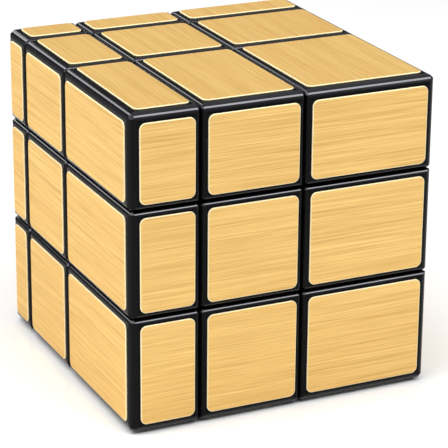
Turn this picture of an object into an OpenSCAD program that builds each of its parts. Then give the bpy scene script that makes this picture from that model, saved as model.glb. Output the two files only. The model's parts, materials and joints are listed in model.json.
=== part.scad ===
// Mirror block cube: a three by three by three turning puzzle whose six outer
// layers all have a different thickness, so its blocks differ in size and not in colour.
// Millimetres, +Z up. The origin is the middle of the closed cube's underside.
// The core sits off the middle of the cube; every layer turns about one of its three axes.

/* [Cube] */
// Outside size of the closed cube, sticker faces included
cube_size = 57; // [56:0.25:58]
// Thickness of the left layer; the right layer takes the rest
left_layer = 13; // [9:0.5:29]
// Thickness of the front layer; the back layer takes the rest
front_layer = 29; // [9:0.5:29]
// Thickness of the bottom layer; the top layer takes the rest
bottom_layer = 21; // [9:0.5:29]

/* [Blocks] */
// Free space between two neighbouring blocks
block_gap = 0.2; // [0.16:0.02:0.3]
// Thickness of the moulded walls
wall = 1.35; // [1.2:0.05:1.4]
// Rounding of the edges that lie along an outer edge of the cube
outer_round = 1.6; // [1:0.1:1.6]
// Rounding of the edges that lie along a gap
gap_round = 0.9; // [0.3:0.1:0.9]
// Glue line between a block's inner foot and its outer shell
glue_line = 0.05; // [0.02:0.01:0.1]

/* [Stickers] */
// Thickness of a foil sticker
sticker_thick = 0.25; // [0.15:0.05:0.3]
// Distance from a sticker to an outer edge of the cube
sticker_edge_margin = 1.95; // [1.9:0.05:2.4]
// Distance from a sticker to the cut plane beside it
sticker_gap_margin = 1.15; // [1.05:0.05:1.5]
// Corner radius of a sticker
sticker_round = 1.1; // [0.6:0.1:1.5]

/* [Turning mechanism] */
// Half width of the square core and of the centre blocks' necks
neck_half = 5; // [4.8:0.1:5.2]
// Radius of the round track that the feet slide in
track_r = 15.5; // [15.2:0.1:15.6]

/* [Core arms] */
// Radius of the six arms that the centre blocks turn on
arm_r = 2.6; // [2.4:0.1:2.8]
// Distance from the middle of the core to the end of an arm
arm_reach = 8.5; // [8:0.1:8.8]
// Running clearance around and past an arm
arm_clearance = 0.2; // [0.1:0.05:0.3]

/* [Screws, washers and springs] */
// Radius of a screw's shank
shank_r = 1.25; // [1:0.05:1.4]
// Distance from the middle of the core to the tip of a screw
screw_tip = 2.6; // [2.2:0.1:3]
// Radius of a screw's pan head
head_r = 2.5; // [2.2:0.1:2.7]
// Height of a screw's pan head
head_h = 1.6; // [1.2:0.1:1.8]
// Outer radius of a washer
washer_r = 2.75; // [2.6:0.05:2.85]
// Thickness of a washer
washer_h = 0.4; // [0.3:0.05:0.5]
// Length of a fitted spring
spring_len = 2.7; // [2.4:0.1:3]
// Radius from a spring's axis to the middle of its wire
spring_r = 2.2; // [2.1:0.05:2.3]
// Diameter of the spring wire
spring_wire = 0.45; // [0.3:0.05:0.5]

/* [Hidden] */
$fn = 64;
half_gap = block_gap / 2;
// Distance from the middle of the core to the six cut planes
cut = cube_size / 6;
// Distances from the middle of the core to the low and the high outer faces on X, Y and Z
low = [left_layer + cut, front_layer + cut, bottom_layer + cut];
high = [for (l = low) cube_size - l];
core_pos = [low.x - cube_size / 2, low.y - cube_size / 2, low.z];
// Each block is an inner foot and an outer shell, which meet at this distance from the core
split = min(concat(low, high)) - sticker_thick - wall;
// Larger than any distance inside the cube
far = cube_size;
// How far a cutting shape runs past what it cuts
overrun = 1;
// Straight pieces in each rounded corner
corner_steps = 8;
// How far in the tips of rounded corners are cut: the distances from the three sides add up to this
// many times the mean radius
tip_share = 1.2;

// Floor of the screw well in a centre block, and what stands on it
well_r = 3.1;
floor_h = 1.5;
spring_seat = 0.1;
floor_low = arm_reach + arm_clearance;
floor_high = floor_low + floor_h;
spring_base = floor_high + spring_seat;
washer_base = spring_base + spring_len;
head_base = washer_base + washer_h;
shank_clearance = 0.1;
tip_clearance = 0.3;
thread_bite = 0.02;
recess_depth = 0.9;
recess_width = 0.6;
recess_length = 3;

spring_turns = 3.5;
rings_per_turn = 12;
wire_sides = 6;

block_colour = [0.06, 0.06, 0.07];
sticker_colour = [0.93, 0.77, 0.48];
core_colour = [0.2, 0.2, 0.22];
steel_colour = [0.72, 0.73, 0.75];

// A cell says where a block sits: -1, 0 or 1 on X, Y and Z
CELLS = [
    for (i = [-1 : 1], j = [-1 : 1], k = [-1 : 1])
        if (i != 0 || j != 0 || k != 0) [i, j, k]
];
KINDS = ["", "centre", "edge", "corner"];
function place(index, low_word, high_word) = index < 0 ? low_word : index > 0 ? high_word : "";
function outer_count(cell) = abs(cell.x) + abs(cell.y) + abs(cell.z);
function block_name(cell) = str(
    place(cell.y, "front_", "back_"),
    place(cell.x, "left_", "right_"),
    place(cell.z, "bottom_", "top_"),
    KINDS[outer_count(cell)]
);
function sticker_name(cell) = str(block_name(cell), "_stickers");

// Lays a shape that was drawn along Z along axis d, where 0, 1 and 2 are X, Y and Z.
// Its own X and Y then lie on the two axes that follow d.
AXIS_TURN = [[90, 0, 90], [-90, -90, 0], [0, 0, 0]];
module along(d) {
    rotate(AXIS_TURN[d]) children();
}

// Points a shape that was drawn along +Z along axis d, on its low or its high side
module towards(d, side) {
    along(d) rotate([side < 0 ? 180 : 0, 0, 0]) children();
}

// Repeats a shape that was drawn along +Z in all six directions
module six_ways() {
    for (d = [0 : 2], side = [-1, 1]) towards(d, side) children();
}

// A box from one low and high pair for each axis
module span_box(spans) {
    translate([for (s = spans) s[0]]) cube([for (s = spans) s[1] - s[0]]);
}

// The stretch from near to beyond on one side of the core, as a low and high pair
function side_span(side, near, beyond) = side < 0 ? [-beyond, -near] : [near, beyond];

// How far the plastic reaches on axis d, on one side of the core
function skin(d, side) = (side < 0 ? low[d] : high[d]) - sticker_thick;

// The space of a block's shell on each axis, kept inset from its outer walls and its gaps
function shell_spans(cell, inset) = [
    for (d = [0 : 2])
        cell[d] == 0
            ? [-cut + half_gap + inset, cut - half_gap - inset]
            : side_span(cell[d], cut + half_gap + inset, skin(d, cell[d]) - inset)
];

// The box that a block's foot fills, reaching inwards to the core
function foot_spans(cell) = [
    for (d = [0 : 2])
        cell[d] == 0
            ? [-cut + half_gap, cut - half_gap]
            : side_span(cell[d], neck_half + half_gap, split)
];

// A rectangle with its own radius at each corner, given as [++, -+, --, +-]
module rounded_rect(u, v, radii) {
    corners = [[u[1], v[1]], [u[0], v[1]], [u[0], v[0]], [u[1], v[0]]];
    inward = [[-1, -1], [1, -1], [1, 1], [-1, 1]];
    polygon([
        for (q = [0 : 3], i = [0 : corner_steps])
            let (turn = 90 * (q + i / corner_steps))
                corners[q] + radii[q] * (inward[q] + [cos(turn), sin(turn)])
    ]);
}

// The rounding where a shell's two sides meet, each side being -1 or 1 on its own axis
function edge_round(index_u, side_u, index_v, side_v) =
    index_u == side_u && index_v == side_v ? outer_round : gap_round;

// The rounded outside of a block's shell, as the common part of three rounded bars with its tips cut
module shell_form(cell) {
    spans = shell_spans(cell, 0);
    difference() {
        intersection_for (d = [0 : 2]) {
            iu = (d + 1) % 3;
            iv = (d + 2) % 3;
            radii = [
                for (s = [[1, 1], [-1, 1], [-1, -1], [1, -1]])
                    edge_round(cell[iu], s[0], cell[iv], s[1])
            ];
            along(d)
                translate([0, 0, spans[d][0]])
                    linear_extrude(spans[d][1] - spans[d][0])
                        rounded_rect(spans[iu], spans[iv], radii);
        }
        for (x = [-1, 1]) for (y = [-1, 1]) for (z = [-1, 1])
            if (cell[0] == x || cell[1] == y || cell[2] == z) tip_cut(cell, spans, [x, y, z]);
    }
}

// What blunts the tip where three roundings meet, on the corner of a shell at these sides
module tip_cut(cell, spans, sides) {
    radii = [
        for (d = [0 : 2])
            let (iu = (d + 1) % 3, iv = (d + 2) % 3)
                edge_round(cell[iu], sides[iu], cell[iv], sides[iv])
    ];
    leg = tip_share * (radii[0] + radii[1] + radii[2]) / 3 + 3 * overrun;
    translate([for (d = [0 : 2]) spans[d][sides[d] < 0 ? 0 : 1] + sides[d] * overrun])
        mirror([sides[0] > 0 ? 1 : 0, 0, 0])
            mirror([0, sides[1] > 0 ? 1 : 0, 0])
                mirror([0, 0, sides[2] > 0 ? 1 : 0])
                    polyhedron(
                        points = [[0, 0, 0], [leg, 0, 0], [0, leg, 0], [0, 0, leg]],
                        faces = [[0, 1, 2], [0, 2, 3], [0, 3, 1], [1, 3, 2]]
                    );
}

// The hollow inside a block. A centre block in a thin layer is too shallow to have one.
module cavity(cell) {
    spans = shell_spans(cell, wall);
    if (outer_count(cell) == 3) {
        span_box(spans);
    } else if (outer_count(cell) == 2) {
        difference() {
            span_box(spans);
            for (d = [0 : 2])
                if (cell[d] == 0)
                    along(d) cylinder(r = track_r + half_gap + wall, h = far, center = true);
        }
    } else {
        for (d = [0 : 2])
            if (cell[d] != 0 && skin(d, cell[d]) - wall > split + wall)
                span_box([
                    for (k = [0 : 2])
                        k == d ? side_span(cell[k], split, skin(k, cell[k]) - wall) : spans[k]
                ]);
    }
}

// What a foot must leave free along an axis that its block turns about: all outside the track
module outside_track(d, side) {
    towards(d, side)
        translate([0, 0, neck_half - overrun])
            difference() {
                cylinder(r = far, h = cut + half_gap - neck_half + overrun);
                translate([0, 0, -overrun]) cylinder(r = track_r - half_gap, h = cut);
            }
}

// What a foot must leave free along the other axes: the track itself
module inside_track(d, side) {
    towards(d, side)
        translate([0, 0, neck_half - half_gap])
            cylinder(r = track_r + half_gap, h = cut);
}

// The holes down the middle of a centre block for the arm, the screw and the spring
module centre_well() {
    cylinder(r = arm_r + arm_clearance / 2, h = floor_low);
    cylinder(r = shank_r + shank_clearance, h = far);
    translate([0, 0, floor_high]) cylinder(r = well_r, h = far);
}

module foot(cell) {
    difference() {
        span_box(foot_spans(cell));
        for (d = [0 : 2]) {
            if (cell[d] != 0 && outer_count(cell) > 1) outside_track(d, cell[d]);
            if (cell[d] == 0) for (side = [-1, 1]) inside_track(d, side);
            if (cell[d] != 0 && outer_count(cell) == 1) towards(d, cell[d]) centre_well();
        }
        if (outer_count(cell) > 1) cavity(cell);
    }
}

module shell(cell) {
    difference() {
        shell_form(cell);
        span_box([
            for (d = [0 : 2])
                cell[d] == 0 ? [-far, far] : side_span(cell[d], 0, split + glue_line)
        ]);
        cavity(cell);
    }
}

module block(cell) {
    color(block_colour)
        translate(core_pos) {
            foot(cell);
            shell(cell);
        }
}

// The stretch of a sticker along axis d, on a block with this index there
function sticker_span(d, index) =
    index == 0
        ? [-cut + sticker_gap_margin, cut - sticker_gap_margin]
        : side_span(
            index,
            cut + sticker_gap_margin,
            (index < 0 ? low[d] : high[d]) - sticker_edge_margin
        );

// One sticker on each outer face of a block
module stickers(cell) {
    color(sticker_colour)
        translate(core_pos)
            for (d = [0 : 2])
                if (cell[d] != 0) {
                    iu = (d + 1) % 3;
                    iv = (d + 2) % 3;
                    base = cell[d] < 0 ? -low[d] : skin(d, 1);
                    along(d)
                        translate([0, 0, base])
                            linear_extrude(sticker_thick)
                                rounded_rect(
                                    sticker_span(iu, cell[iu]),
                                    sticker_span(iv, cell[iv]),
                                    [for (q = [0 : 3]) sticker_round]
                                );
                }
}

module core() {
    color(core_colour)
        translate(core_pos)
            difference() {
                union() {
                    cube(2 * (neck_half - half_gap), center = true);
                    six_ways() cylinder(r = arm_r, h = arm_reach);
                }
                six_ways()
                    translate([0, 0, screw_tip - tip_clearance])
                        cylinder(r = shank_r + thread_bite, h = far);
            }
}

module core_screws() {
    color(steel_colour)
        translate(core_pos)
            six_ways()
                difference() {
                    union() {
                        translate([0, 0, screw_tip])
                            cylinder(r = shank_r, h = head_base - screw_tip + head_h / 2);
                        translate([0, 0, head_base]) cylinder(r = head_r, h = head_h);
                    }
                    for (turn = [0, 90])
                        translate([0, 0, head_base + head_h - recess_depth])
                            rotate(turn)
                                translate([-recess_length / 2, -recess_width / 2, 0])
                                    cube([recess_length, recess_width, head_h]);
                }
}

module core_washers() {
    color(steel_colour)
        translate(core_pos)
            six_ways()
                translate([0, 0, washer_base])
                    difference() {
                        cylinder(r = washer_r, h = washer_h);
                        translate([0, 0, -washer_h])
                            cylinder(r = shank_r + shank_clearance, h = 3 * washer_h);
                    }
}

// A coil of round wire, as rings of points that climb around the axis
module coil(radius, wire, length, turns) {
    rings = ceil(turns * rings_per_turn);
    climb = length - wire;
    points = [
        for (r = [0 : rings], s = [0 : wire_sides - 1])
            let (
                around = 360 * turns * r / rings,
                section = 360 * s / wire_sides,
                out = radius + wire / 2 * cos(section),
                up = wire / 2 * (1 + sin(section)) + climb * r / rings
            )
                [out * cos(around), out * sin(around), up]
    ];
    sides = [
        for (r = [0 : rings - 1], s = [0 : wire_sides - 1])
            let (next = (s + 1) % wire_sides, here = r * wire_sides, there = here + wire_sides)
                [here + s, there + s, there + next, here + next]
    ];
    start = [for (s = [0 : wire_sides - 1]) s];
    end = [for (s = [wire_sides - 1 : -1 : 0]) rings * wire_sides + s];
    polyhedron(points, concat([start], sides, [end]));
}

module core_springs() {
    color(steel_colour)
        translate(core_pos)
            six_ways()
                translate([0, 0, spring_base])
                    coil(spring_r, spring_wire, spring_len, spring_turns);
}

core();
core_screws();
core_washers();
core_springs();
for (cell = CELLS) {
    block(cell);
    stickers(cell);
}
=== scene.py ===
import json
import math

import bmesh
import bpy
from mathutils import Matrix, Vector


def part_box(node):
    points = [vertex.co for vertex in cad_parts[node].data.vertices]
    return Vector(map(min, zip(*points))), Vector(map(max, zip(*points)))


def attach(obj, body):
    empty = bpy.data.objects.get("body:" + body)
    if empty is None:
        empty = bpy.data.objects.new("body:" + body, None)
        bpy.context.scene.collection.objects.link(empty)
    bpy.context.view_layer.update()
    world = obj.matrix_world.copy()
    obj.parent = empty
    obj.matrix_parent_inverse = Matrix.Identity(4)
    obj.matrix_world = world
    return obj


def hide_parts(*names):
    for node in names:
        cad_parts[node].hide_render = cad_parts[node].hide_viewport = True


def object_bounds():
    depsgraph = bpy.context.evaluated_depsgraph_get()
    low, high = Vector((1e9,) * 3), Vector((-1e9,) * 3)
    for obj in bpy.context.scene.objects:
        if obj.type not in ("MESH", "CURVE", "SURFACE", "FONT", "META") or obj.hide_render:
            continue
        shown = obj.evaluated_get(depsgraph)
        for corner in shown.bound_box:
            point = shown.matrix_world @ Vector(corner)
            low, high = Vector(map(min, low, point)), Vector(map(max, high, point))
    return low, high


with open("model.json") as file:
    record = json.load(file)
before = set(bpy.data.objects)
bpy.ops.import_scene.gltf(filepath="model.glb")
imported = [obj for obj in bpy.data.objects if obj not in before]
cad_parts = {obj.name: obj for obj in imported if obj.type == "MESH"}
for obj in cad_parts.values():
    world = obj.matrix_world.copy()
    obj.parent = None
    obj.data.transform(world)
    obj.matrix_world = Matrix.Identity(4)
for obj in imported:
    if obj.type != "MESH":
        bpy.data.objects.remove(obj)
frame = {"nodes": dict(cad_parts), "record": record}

# A mirror block cube: black moulded blocks of unequal size under brushed gold foil stickers.
# Lengths are in metres, in the CAD frame: +Z up, the front face towards -Y, the left face
# towards -X.
MM = 0.001
CAD_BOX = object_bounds()
AXES = range(3)

# Stickers
STICKER_ROUND = 1.1 * MM     # corner radius of a sticker
RIM_WIDTH = 0.14 * MM        # width of the pale bevelled rim, seen from above
RIM_DROP = 0.08 * MM         # how far the rim slopes down towards the plastic
LIP_WIDTH = 0.03 * MM        # small rounding between the rim and the foil
LIP_DROP = 0.01 * MM
ARC_STEPS = 8                # straight pieces in each rounded corner
SAME_PLANE = 0.01 * MM       # points nearer than this lie on one plane

# The largest part of a direction along one axis: above EDGE_FLAT the surface is flat, and
# below EDGE_TURNED it is a rounded edge
EDGE_TURNED, EDGE_FLAT = 0.96, 0.99
# An upright edge gets this share of the painted sheen (a painted highlight) that an edge facing
# upwards or downwards gets. The two heights are the upward part of a direction where the change
# starts and ends.
UPRIGHT_SHEEN_SHARE = 0.05
UPRIGHT_HEIGHT, LEVEL_HEIGHT = 0.2, 0.6

# Brushed lines, as (length, width)
BROAD_LINES = (70 * MM, 1.6 * MM)
MIDDLE_LINES = (26 * MM, 0.24 * MM)
FINE_LINES = (12 * MM, 0.13 * MM)
# How far apart on the foil sheet two blocks' stickers may be cut
SHEET_STEP = (0.31, 0.47, 0.23)

# Camera: from the front left and a little above
CAMERA_AZIMUTH = -25.30
CAMERA_ELEVATION = 20.43
CAMERA_ROLL = 0.47
CAMERA_DISTANCE = 386.4 * MM
CAMERA_AIM = Vector((-3.32, -11.18, 28.65)) * MM
CAMERA_LENS = 177.9
SENSOR_WIDTH = 36.0
CAMERA_CLIP = (0.01, 50.0)   # the nearest and farthest distance that it sees

# Floor slab
FLOOR_HALF = 4.0             # half the width
FLOOR_ROUND = 0.4            # corner radius
FLOOR_DEPTH = 0.02

# The room's brightness, from the horizon (0) to straight up (1)
SKY = [
    (0.0, (0.20, 0.20, 0.21, 1)),
    (0.20, (0.12, 0.12, 0.13, 1)),
    (0.50, (0.14, 0.14, 0.15, 1)),
    (0.70, (0.75, 0.75, 0.75, 1)),
]

# Lamps: name, direction from the cube, distance, size, power in watts, and the axis that the long
# side lies near
LAMPS = [
    # Two bright strips draw the thin lines of light along the blocks' upper edges
    ("front_edge_strip", (0.40, -0.51, 0.76), 0.8, (0.55, 0.18), 2.5, (1, 0, 0)),
    ("left_edge_strip", (-0.265, 0.847, 0.461), 0.8, (0.45, 0.15), 0.75, (-0.73, -0.45, 0.49)),
    # Three broad lamps light the foil, from where no edge mirrors them to the camera
    ("overhead", (-0.25, -0.05, 0.96), 1.1, (1.0, 1.0), 9.4, (1, 0, 0)),
    ("left_fill", (-0.85, -0.05, 0.45), 0.9, (0.6, 0.6), 3.2, (0, 1, 0)),
    ("right_fill", (0.75, -0.55, 0.38), 1.1, (0.7, 0.7), 1.5, (0, 0, 1)),
]


# ---------------------------------------------------------------- node helpers

def new_material(name):
    """A material, its node tree and the shader that is all the tree holds so far."""
    mat = bpy.data.materials.new(name)
    mat.use_nodes = True
    tree = mat.node_tree
    tree.nodes.clear()
    out = tree.nodes.new("ShaderNodeOutputMaterial")
    shader = tree.nodes.new("ShaderNodeBsdfPrincipled")
    tree.links.new(shader.outputs["BSDF"], out.inputs["Surface"])
    return mat, tree, shader


def add_node(tree, kind, **values):
    """A node of that kind. Values that name a socket set it, and others set a property."""
    node = tree.nodes.new("ShaderNode" + kind)
    for key, value in values.items():
        socket = key.replace("_", " ")
        if socket in node.inputs:
            node.inputs[socket].default_value = value
        else:
            setattr(node, key, value)
    return node


def stretched_noise(tree, stretch, scale, detail, roughness, shift=None):
    """Noise over the object's own coordinates, stretched by a factor on each axis."""
    coords = add_node(tree, "TexCoord")
    source = coords.outputs["Object"]
    if shift is not None:
        moved = add_node(tree, "VectorMath", operation="ADD")
        tree.links.new(source, moved.inputs[0])
        tree.links.new(shift, moved.inputs[1])
        source = moved.outputs[0]
    mapping = add_node(tree, "Mapping", Scale=stretch)
    tree.links.new(source, mapping.inputs["Vector"])
    noise = add_node(tree, "TexNoise", Scale=scale, Detail=detail, Roughness=roughness)
    tree.links.new(mapping.outputs["Vector"], noise.inputs["Vector"])
    return noise.outputs["Fac"]


def ramp(tree, factor, stops):
    """Colours along a factor; stops are (position, colour)."""
    node = add_node(tree, "ValToRGB")
    elements = node.color_ramp.elements
    while len(elements) > 1:
        elements.remove(elements[-1])
    elements[0].position, elements[0].color = stops[0]
    for position, colour in stops[1:]:
        elements.new(position).color = colour
    tree.links.new(factor, node.inputs["Fac"])
    return node.outputs["Color"]


def remap(tree, factor, low, high, from_low=0.3, from_high=0.7):
    """A factor spread over low to high."""
    node = add_node(tree, "MapRange")
    node.inputs["From Min"].default_value = from_low
    node.inputs["From Max"].default_value = from_high
    node.inputs["To Min"].default_value = low
    node.inputs["To Max"].default_value = high
    tree.links.new(factor, node.inputs["Value"])
    return node.outputs["Result"]


def mix(tree, factor, first, second):
    """first where factor is 0, second where it is 1."""
    node = add_node(tree, "Mix", data_type="RGBA")
    colour_sockets = [s for s in node.inputs if s.type == "RGBA"]
    if isinstance(factor, float):
        node.inputs["Factor"].default_value = factor
    else:
        tree.links.new(factor, node.inputs["Factor"])
    for socket, value in zip(colour_sockets, (first, second)):
        tree.links.new(value, socket)
    return [s for s in node.outputs if s.type == "RGBA"][0]


def bump(tree, shader, height, strength, distance):
    """Tilts the shaded surface by a height."""
    node = add_node(tree, "Bump", Strength=strength, Distance=distance)
    tree.links.new(height, node.inputs["Height"])
    tree.links.new(node.outputs["Normal"], shader.inputs["Normal"])


# ------------------------------------------------------------------- materials

def sheet_shift(tree):
    """A different place on the foil sheet for each block's stickers."""
    info = add_node(tree, "ObjectInfo")
    node = add_node(tree, "VectorMath", operation="SCALE")
    node.inputs[0].default_value = SHEET_STEP
    tree.links.new(info.outputs["Random"], node.inputs["Scale"])
    return node.outputs[0]


def brushed_gold(name, along):
    """Gold foil with fine brushed lines that run along one axis."""
    mat, tree, shader = new_material(name)
    shift = sheet_shift(tree)

    def lines(size, detail, roughness):
        length, width = size
        stretch = [1 / width] * 3
        stretch[along] = 1 / length
        return stretched_noise(tree, stretch, 1.0, detail, roughness, shift)

    broad = lines(BROAD_LINES, 2.0, 0.5)
    middle = lines(MIDDLE_LINES, 2.0, 0.6)
    fine = lines(FINE_LINES, 2.0, 0.5)
    gold = ramp(tree, middle, [
        (0.34, (0.56, 0.32, 0.095, 1)),
        (0.45, (0.75, 0.46, 0.145, 1)),
        (0.55, (0.84, 0.545, 0.185, 1)),
        (0.68, (0.93, 0.65, 0.255, 1)),
    ])
    cloud = ramp(tree, broad, [
        (0.36, (0.73, 0.445, 0.135, 1)),
        (0.64, (0.88, 0.60, 0.210, 1)),
    ])
    hair = ramp(tree, fine, [
        (0.38, (0.62, 0.36, 0.110, 1)),
        (0.62, (0.96, 0.67, 0.255, 1)),
    ])
    colour = mix(tree, 0.45, gold, cloud)
    colour = mix(tree, 0.35, colour, hair)
    tree.links.new(colour, shader.inputs["Base Color"])
    tree.links.new(remap(tree, middle, 0.44, 0.32), shader.inputs["Roughness"])
    shader.inputs["Metallic"].default_value = 0.42
    shader.inputs["Specular IOR Level"].default_value = 0.2
    shader.inputs["Specular Tint"].default_value = (1.0, 0.78, 0.42, 1)
    bump(tree, shader, mix(tree, 0.5, middle, fine), 0.35, 0.02 * MM)
    return mat


def rim_painted_highlight():
    """The bevelled cut edge of a sticker. Its pale cream colour, brighter than the foil, is a
    painted highlight of the light that the bevel catches.
    """
    mat, tree, shader = new_material("sticker_rim_painted_highlight")
    grain = stretched_noise(tree, (1, 1, 1), 2600.0, 2.0, 0.5)
    # Painted highlight: a pale cream colour for the light caught by the rim's bevel
    colour = ramp(tree, grain, [
        (0.35, (0.94, 0.77, 0.44, 1)),
        (0.65, (1.00, 0.87, 0.56, 1)),
    ])
    tree.links.new(colour, shader.inputs["Base Color"])
    tree.links.new(remap(tree, grain, 0.30, 0.42), shader.inputs["Roughness"])
    shader.inputs["Metallic"].default_value = 0.1
    bump(tree, shader, grain, 0.1, 0.01 * MM)
    return mat


def painted_sheen_mask(tree):
    """Mask of the painted sheen: towards 1 on a rounded edge that faces up or down, small on an
    upright edge, and 0 on a flat face, from how far the surface turns away from the piece's own
    axes."""
    coords = add_node(tree, "TexCoord")
    size = add_node(tree, "VectorMath", operation="ABSOLUTE")
    tree.links.new(coords.outputs["Normal"], size.inputs[0])
    split = add_node(tree, "SeparateXYZ")
    tree.links.new(size.outputs[0], split.inputs[0])
    largest = split.outputs["X"]
    for other in ("Y", "Z"):
        pick = add_node(tree, "Math", operation="MAXIMUM")
        tree.links.new(largest, pick.inputs[0])
        tree.links.new(split.outputs[other], pick.inputs[1])
        largest = pick.outputs[0]
    turned = remap(tree, largest, 1.0, 0.0, EDGE_TURNED, EDGE_FLAT)
    height = remap(tree, split.outputs["Z"], UPRIGHT_SHEEN_SHARE, 1.0, UPRIGHT_HEIGHT, LEVEL_HEIGHT)
    weighted = add_node(tree, "Math", operation="MULTIPLY")
    tree.links.new(turned, weighted.inputs[0])
    tree.links.new(height, weighted.inputs[1])
    return weighted.outputs[0]


def black_plastic():
    """Glossy moulded black plastic with a faint flow texture and hairline scuffs, and a painted
    sheen: a grey metallic reflectance on the rounded edges that face up or down, so they mirror
    the lamps as bright lines.
    """
    mat, tree, shader = new_material("glossy_black_plastic")
    flow = stretched_noise(tree, (1, 1, 1), 110.0, 4.0, 0.55)
    skin = stretched_noise(tree, (1, 1, 1), 3200.0, 3.0, 0.6)
    scuffs = stretched_noise(tree, (260, 3000, 900), 1.0, 4.0, 0.7)
    colour = ramp(tree, flow, [
        (0.35, (0.0006, 0.0006, 0.0009, 1)),
        (0.65, (0.0016, 0.0016, 0.0021, 1)),
    ])
    # Painted sheen: rounded edges that face up or down get a grey metallic reflectance, upright
    # edges only a little, so that the edge strip lamps draw bright highlight lines on them
    edge = painted_sheen_mask(tree)
    painted_sheen = ramp(tree, flow, [
        (0.35, (0.044, 0.044, 0.048, 1)),
        (0.65, (0.054, 0.054, 0.058, 1)),
    ])
    tree.links.new(mix(tree, edge, colour, painted_sheen), shader.inputs["Base Color"])
    tree.links.new(edge, shader.inputs["Metallic"])
    rough = add_node(tree, "Math", operation="ADD")
    tree.links.new(remap(tree, flow, 0.09, 0.15), rough.inputs[0])
    tree.links.new(remap(tree, scuffs, 0.0, 0.1, 0.58, 0.75), rough.inputs[1])
    tree.links.new(rough.outputs[0], shader.inputs["Roughness"])
    shader.inputs["Specular IOR Level"].default_value = 0.08
    bump(tree, shader, skin, 0.12, 0.006 * MM)
    return mat


def core_plastic():
    """Satin dark grey plastic of the core."""
    mat, tree, shader = new_material("satin_core_plastic")
    flow = stretched_noise(tree, (1, 1, 1), 260.0, 4.0, 0.6)
    skin = stretched_noise(tree, (1, 1, 1), 4200.0, 2.0, 0.5)
    colour = ramp(tree, flow, [
        (0.3, (0.030, 0.030, 0.034, 1)),
        (0.7, (0.055, 0.055, 0.060, 1)),
    ])
    tree.links.new(colour, shader.inputs["Base Color"])
    tree.links.new(remap(tree, flow, 0.42, 0.56), shader.inputs["Roughness"])
    bump(tree, shader, skin, 0.25, 0.02 * MM)
    return mat


def plated_steel():
    """Zinc-plated steel with fine turning marks."""
    mat, tree, shader = new_material("plated_steel")
    marks = stretched_noise(tree, (1, 1, 6), 1500.0, 3.0, 0.6)
    colour = ramp(tree, marks, [
        (0.3, (0.50, 0.51, 0.53, 1)),
        (0.7, (0.68, 0.68, 0.69, 1)),
    ])
    tree.links.new(colour, shader.inputs["Base Color"])
    tree.links.new(remap(tree, marks, 0.22, 0.36), shader.inputs["Roughness"])
    shader.inputs["Metallic"].default_value = 1.0
    bump(tree, shader, marks, 0.2, 0.01 * MM)
    return mat


def floor_white():
    """A pale polished studio table that mirrors a little of what stands on it."""
    mat, tree, shader = new_material("pale_floor")
    tone = stretched_noise(tree, (1, 1, 1), 6.0, 2.0, 0.5)
    colour = ramp(tree, tone, [
        (0.35, (0.87, 0.87, 0.87, 1)),
        (0.65, (0.90, 0.90, 0.90, 1)),
    ])
    tree.links.new(colour, shader.inputs["Base Color"])
    tree.links.new(remap(tree, tone, 0.06, 0.09), shader.inputs["Roughness"])
    shader.inputs["Specular IOR Level"].default_value = 0.35
    return mat


# -------------------------------------------------------------------- stickers

def rounded_outline(u, v, radius, inset):
    """Points around a rectangle with rounded corners, pulled in by inset."""
    points = []
    radius = radius - inset
    corners = [(u[1], v[1], -1, -1), (u[0], v[1], 1, -1), (u[0], v[0], 1, 1), (u[1], v[0], -1, 1)]
    for quarter, (cu, cv, du, dv) in enumerate(corners):
        centre = Vector((cu + du * (inset + radius), cv + dv * (inset + radius)))
        for step in range(ARC_STEPS + 1):
            turn = math.radians(90 * (quarter + step / ARC_STEPS))
            points.append(centre + radius * Vector((math.cos(turn), math.sin(turn))))
    return points


def plate_places(node):
    """Each sticker in a CAD node: its axis, its side, its outer plane, the other two axes, and its
    stretch on them."""
    low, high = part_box(node)
    corners = [v.co for v in frame["nodes"][node].data.vertices]
    places = []
    for axis in AXES:
        for side, own, whole in ((-1, low, CAD_BOX[0]), (1, high, CAD_BOX[1])):
            plane = own[axis]
            if abs(plane - whole[axis]) > SAME_PLANE:
                continue
            flat = [c for c in corners if abs(c[axis] - plane) < SAME_PLANE]
            others = [(axis + 1) % 3, (axis + 2) % 3]
            spans = [(min(c[k] for c in flat), max(c[k] for c in flat)) for k in others]
            places.append((axis, side, plane, others, spans))
    return places


def plate_thickness(node):
    """The CAD thickness of a node's stickers: the step between their outer and inner planes."""
    axis, _, plane, _, _ = plate_places(node)[0]
    corners = frame["nodes"][node].data.vertices
    depths = sorted({round(abs(v.co[axis] - plane), 6) for v in corners})
    return depths[1]


def add_plate(bm, place, thickness):
    """One sticker: foil on top, a sloping pale rim around it, and a short edge down to the
    plastic."""
    axis, side, plane, others, spans = place
    # (how far in from the outline, how far below the outer plane) from the plastic up to the foil
    steps = [
        (0, thickness),
        (0, RIM_DROP),
        (RIM_WIDTH - LIP_WIDTH, LIP_DROP),
        (RIM_WIDTH, 0),
    ]
    rings = []
    for inset, below in steps:
        ring = []
        for point in rounded_outline(*spans, STICKER_ROUND, inset):
            co = Vector((0, 0, 0))
            co[axis] = plane - side * below
            co[others[0]], co[others[1]] = point
            ring.append(bm.verts.new(co))
        rings.append(ring if side > 0 else ring[::-1])
    count = len(rings[0])
    for lower, upper in zip(rings, rings[1:]):
        for i in range(count):
            j = (i + 1) % count
            face = bm.faces.new((lower[i], lower[j], upper[j], upper[i]))
            face.material_index = 0
            face.smooth = True
    bm.faces.new(rings[0][::-1]).material_index = 0
    foil = bm.faces.new(rings[-1])
    foil.material_index = 2 if axis == 1 else 1


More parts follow.
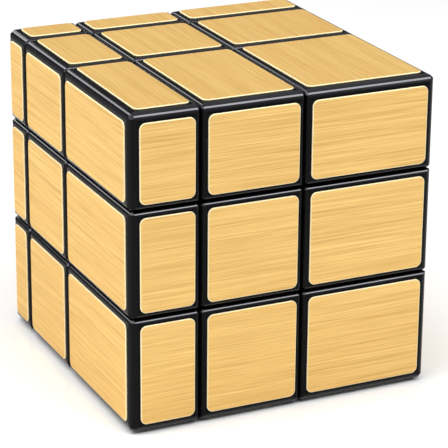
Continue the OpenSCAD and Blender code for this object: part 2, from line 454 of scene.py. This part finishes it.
def make_stickers(node, body, finishes):
    """The stickers of one block, as one piece that rides on the block's body."""
    mesh = bpy.data.meshes.new(node + "_foil")
    bm = bmesh.new()
    thickness = plate_thickness(node)
    for place in plate_places(node):
        add_plate(bm, place, thickness)
    bm.to_mesh(mesh)
    bm.free()
    for finish in finishes:
        mesh.materials.append(finish)
    piece = bpy.data.objects.new(node + "_foil", mesh)
    bpy.context.scene.collection.objects.link(piece)
    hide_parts(node)
    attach(piece, body)


def dress_cad_node(node, finish):
    """Gives a CAD node that stays its own finish."""
    obj = frame["nodes"][node]
    obj.data.materials.clear()
    obj.data.materials.append(finish)


def build_object():
    """Finishes every CAD node, and makes the stickers that stand for the sticker nodes."""
    finishes = {
        "black_plastic": black_plastic(),
        "core_plastic": core_plastic(),
        "steel": plated_steel(),
    }
    foil = [
        rim_painted_highlight(),
        brushed_gold("brushed_gold_along_y", 1),
        brushed_gold("brushed_gold_along_x", 0),
    ]
    slots = {part["node"]: part["material_slot"] for part in frame["record"]["subparts"]}
    for body, members in frame["record"]["behaviour"]["bodies"].items():
        for node in members:
            if slots[node] == "gold_foil":
                make_stickers(node, body, foil)
            else:
                dress_cad_node(node, finishes[slots[node]])


# --------------------------------------------------------------- floor, lights

def make_floor():
    """A wide round-cornered slab just under the cube."""
    bm = bmesh.new()
    edge = (-FLOOR_HALF, FLOOR_HALF)
    z = CAD_BOX[0].z
    rings = []
    outline = rounded_outline(edge, edge, FLOOR_ROUND, 0)
    for drop in (0.0, FLOOR_DEPTH):
        rings.append([bm.verts.new((p.x, p.y, z - drop)) for p in outline])
    count = len(rings[0])
    for i in range(count):
        j = (i + 1) % count
        bm.faces.new((rings[1][i], rings[1][j], rings[0][j], rings[0][i]))
    bm.faces.new(rings[0])
    bm.faces.new(rings[1][::-1])
    mesh = bpy.data.meshes.new("floor")
    bm.to_mesh(mesh)
    bm.free()
    mesh.materials.append(floor_white())
    floor = bpy.data.objects.new("floor", mesh)
    bpy.context.scene.collection.objects.link(floor)


def add_softbox(name, direction, distance, size, power, long_axis):
    """An area light that hangs in a direction from the cube and faces it, with its long side near
    long_axis."""
    light = bpy.data.lights.new(name, "AREA")
    light.shape = "RECTANGLE"
    light.size, light.size_y = size
    light.energy = power
    lamp = bpy.data.objects.new(name, light)
    bpy.context.scene.collection.objects.link(lamp)
    back = Vector(direction).normalized()
    across = back.cross(Vector(long_axis)).normalized()
    along = across.cross(back)
    facing = Matrix((along, across, back)).transposed()
    aim = (CAD_BOX[0] + CAD_BOX[1]) / 2
    lamp.matrix_world = Matrix.Translation(aim + back * distance) @ facing.to_4x4()
    lamp.visible_camera = False


def make_world():
    """A pale room: bright overhead, dimmer towards the horizon."""
    world = bpy.data.worlds.new("pale_room")
    world.use_nodes = True
    bpy.context.scene.world = world
    tree = world.node_tree
    tree.nodes.clear()
    out = add_node(tree, "OutputWorld")
    background = add_node(tree, "Background", Strength=1.0)
    coords = add_node(tree, "TexCoord")
    split = add_node(tree, "SeparateXYZ")
    tree.links.new(coords.outputs["Generated"], split.inputs[0])
    tree.links.new(ramp(tree, split.outputs["Z"], SKY), background.inputs["Color"])
    tree.links.new(background.outputs[0], out.inputs["Surface"])


def towards_viewer(azimuth, elevation):
    """The direction from the cube to a viewer. The viewer looks along +Y at azimuth 0, and along
    -X at 90."""
    a, e = math.radians(azimuth), math.radians(elevation)
    return Vector((math.sin(a) * math.cos(e), -math.cos(a) * math.cos(e), math.sin(e)))


def make_camera():
    """A long lens that looks at the cube from the front left."""
    data = bpy.data.cameras.new("camera")
    data.lens = CAMERA_LENS
    data.sensor_width = SENSOR_WIDTH
    data.clip_start, data.clip_end = CAMERA_CLIP
    camera = bpy.data.objects.new("camera", data)
    bpy.context.scene.collection.objects.link(camera)
    back = towards_viewer(CAMERA_AZIMUTH, CAMERA_ELEVATION)
    turn = back.to_track_quat("Z", "Y").to_matrix().to_4x4()
    roll = Matrix.Rotation(math.radians(CAMERA_ROLL), 4, "Z")
    camera.matrix_world = Matrix.Translation(CAMERA_AIM + back * CAMERA_DISTANCE) @ turn @ roll
    bpy.context.scene.camera = camera


def make_studio():
    """The camera, the floor, the room and its lamps."""
    make_camera()
    make_floor()
    make_world()
    for lamp in LAMPS:
        add_softbox(*lamp)
    bpy.context.scene.view_settings.view_transform = "Standard"


build_object()
make_studio()
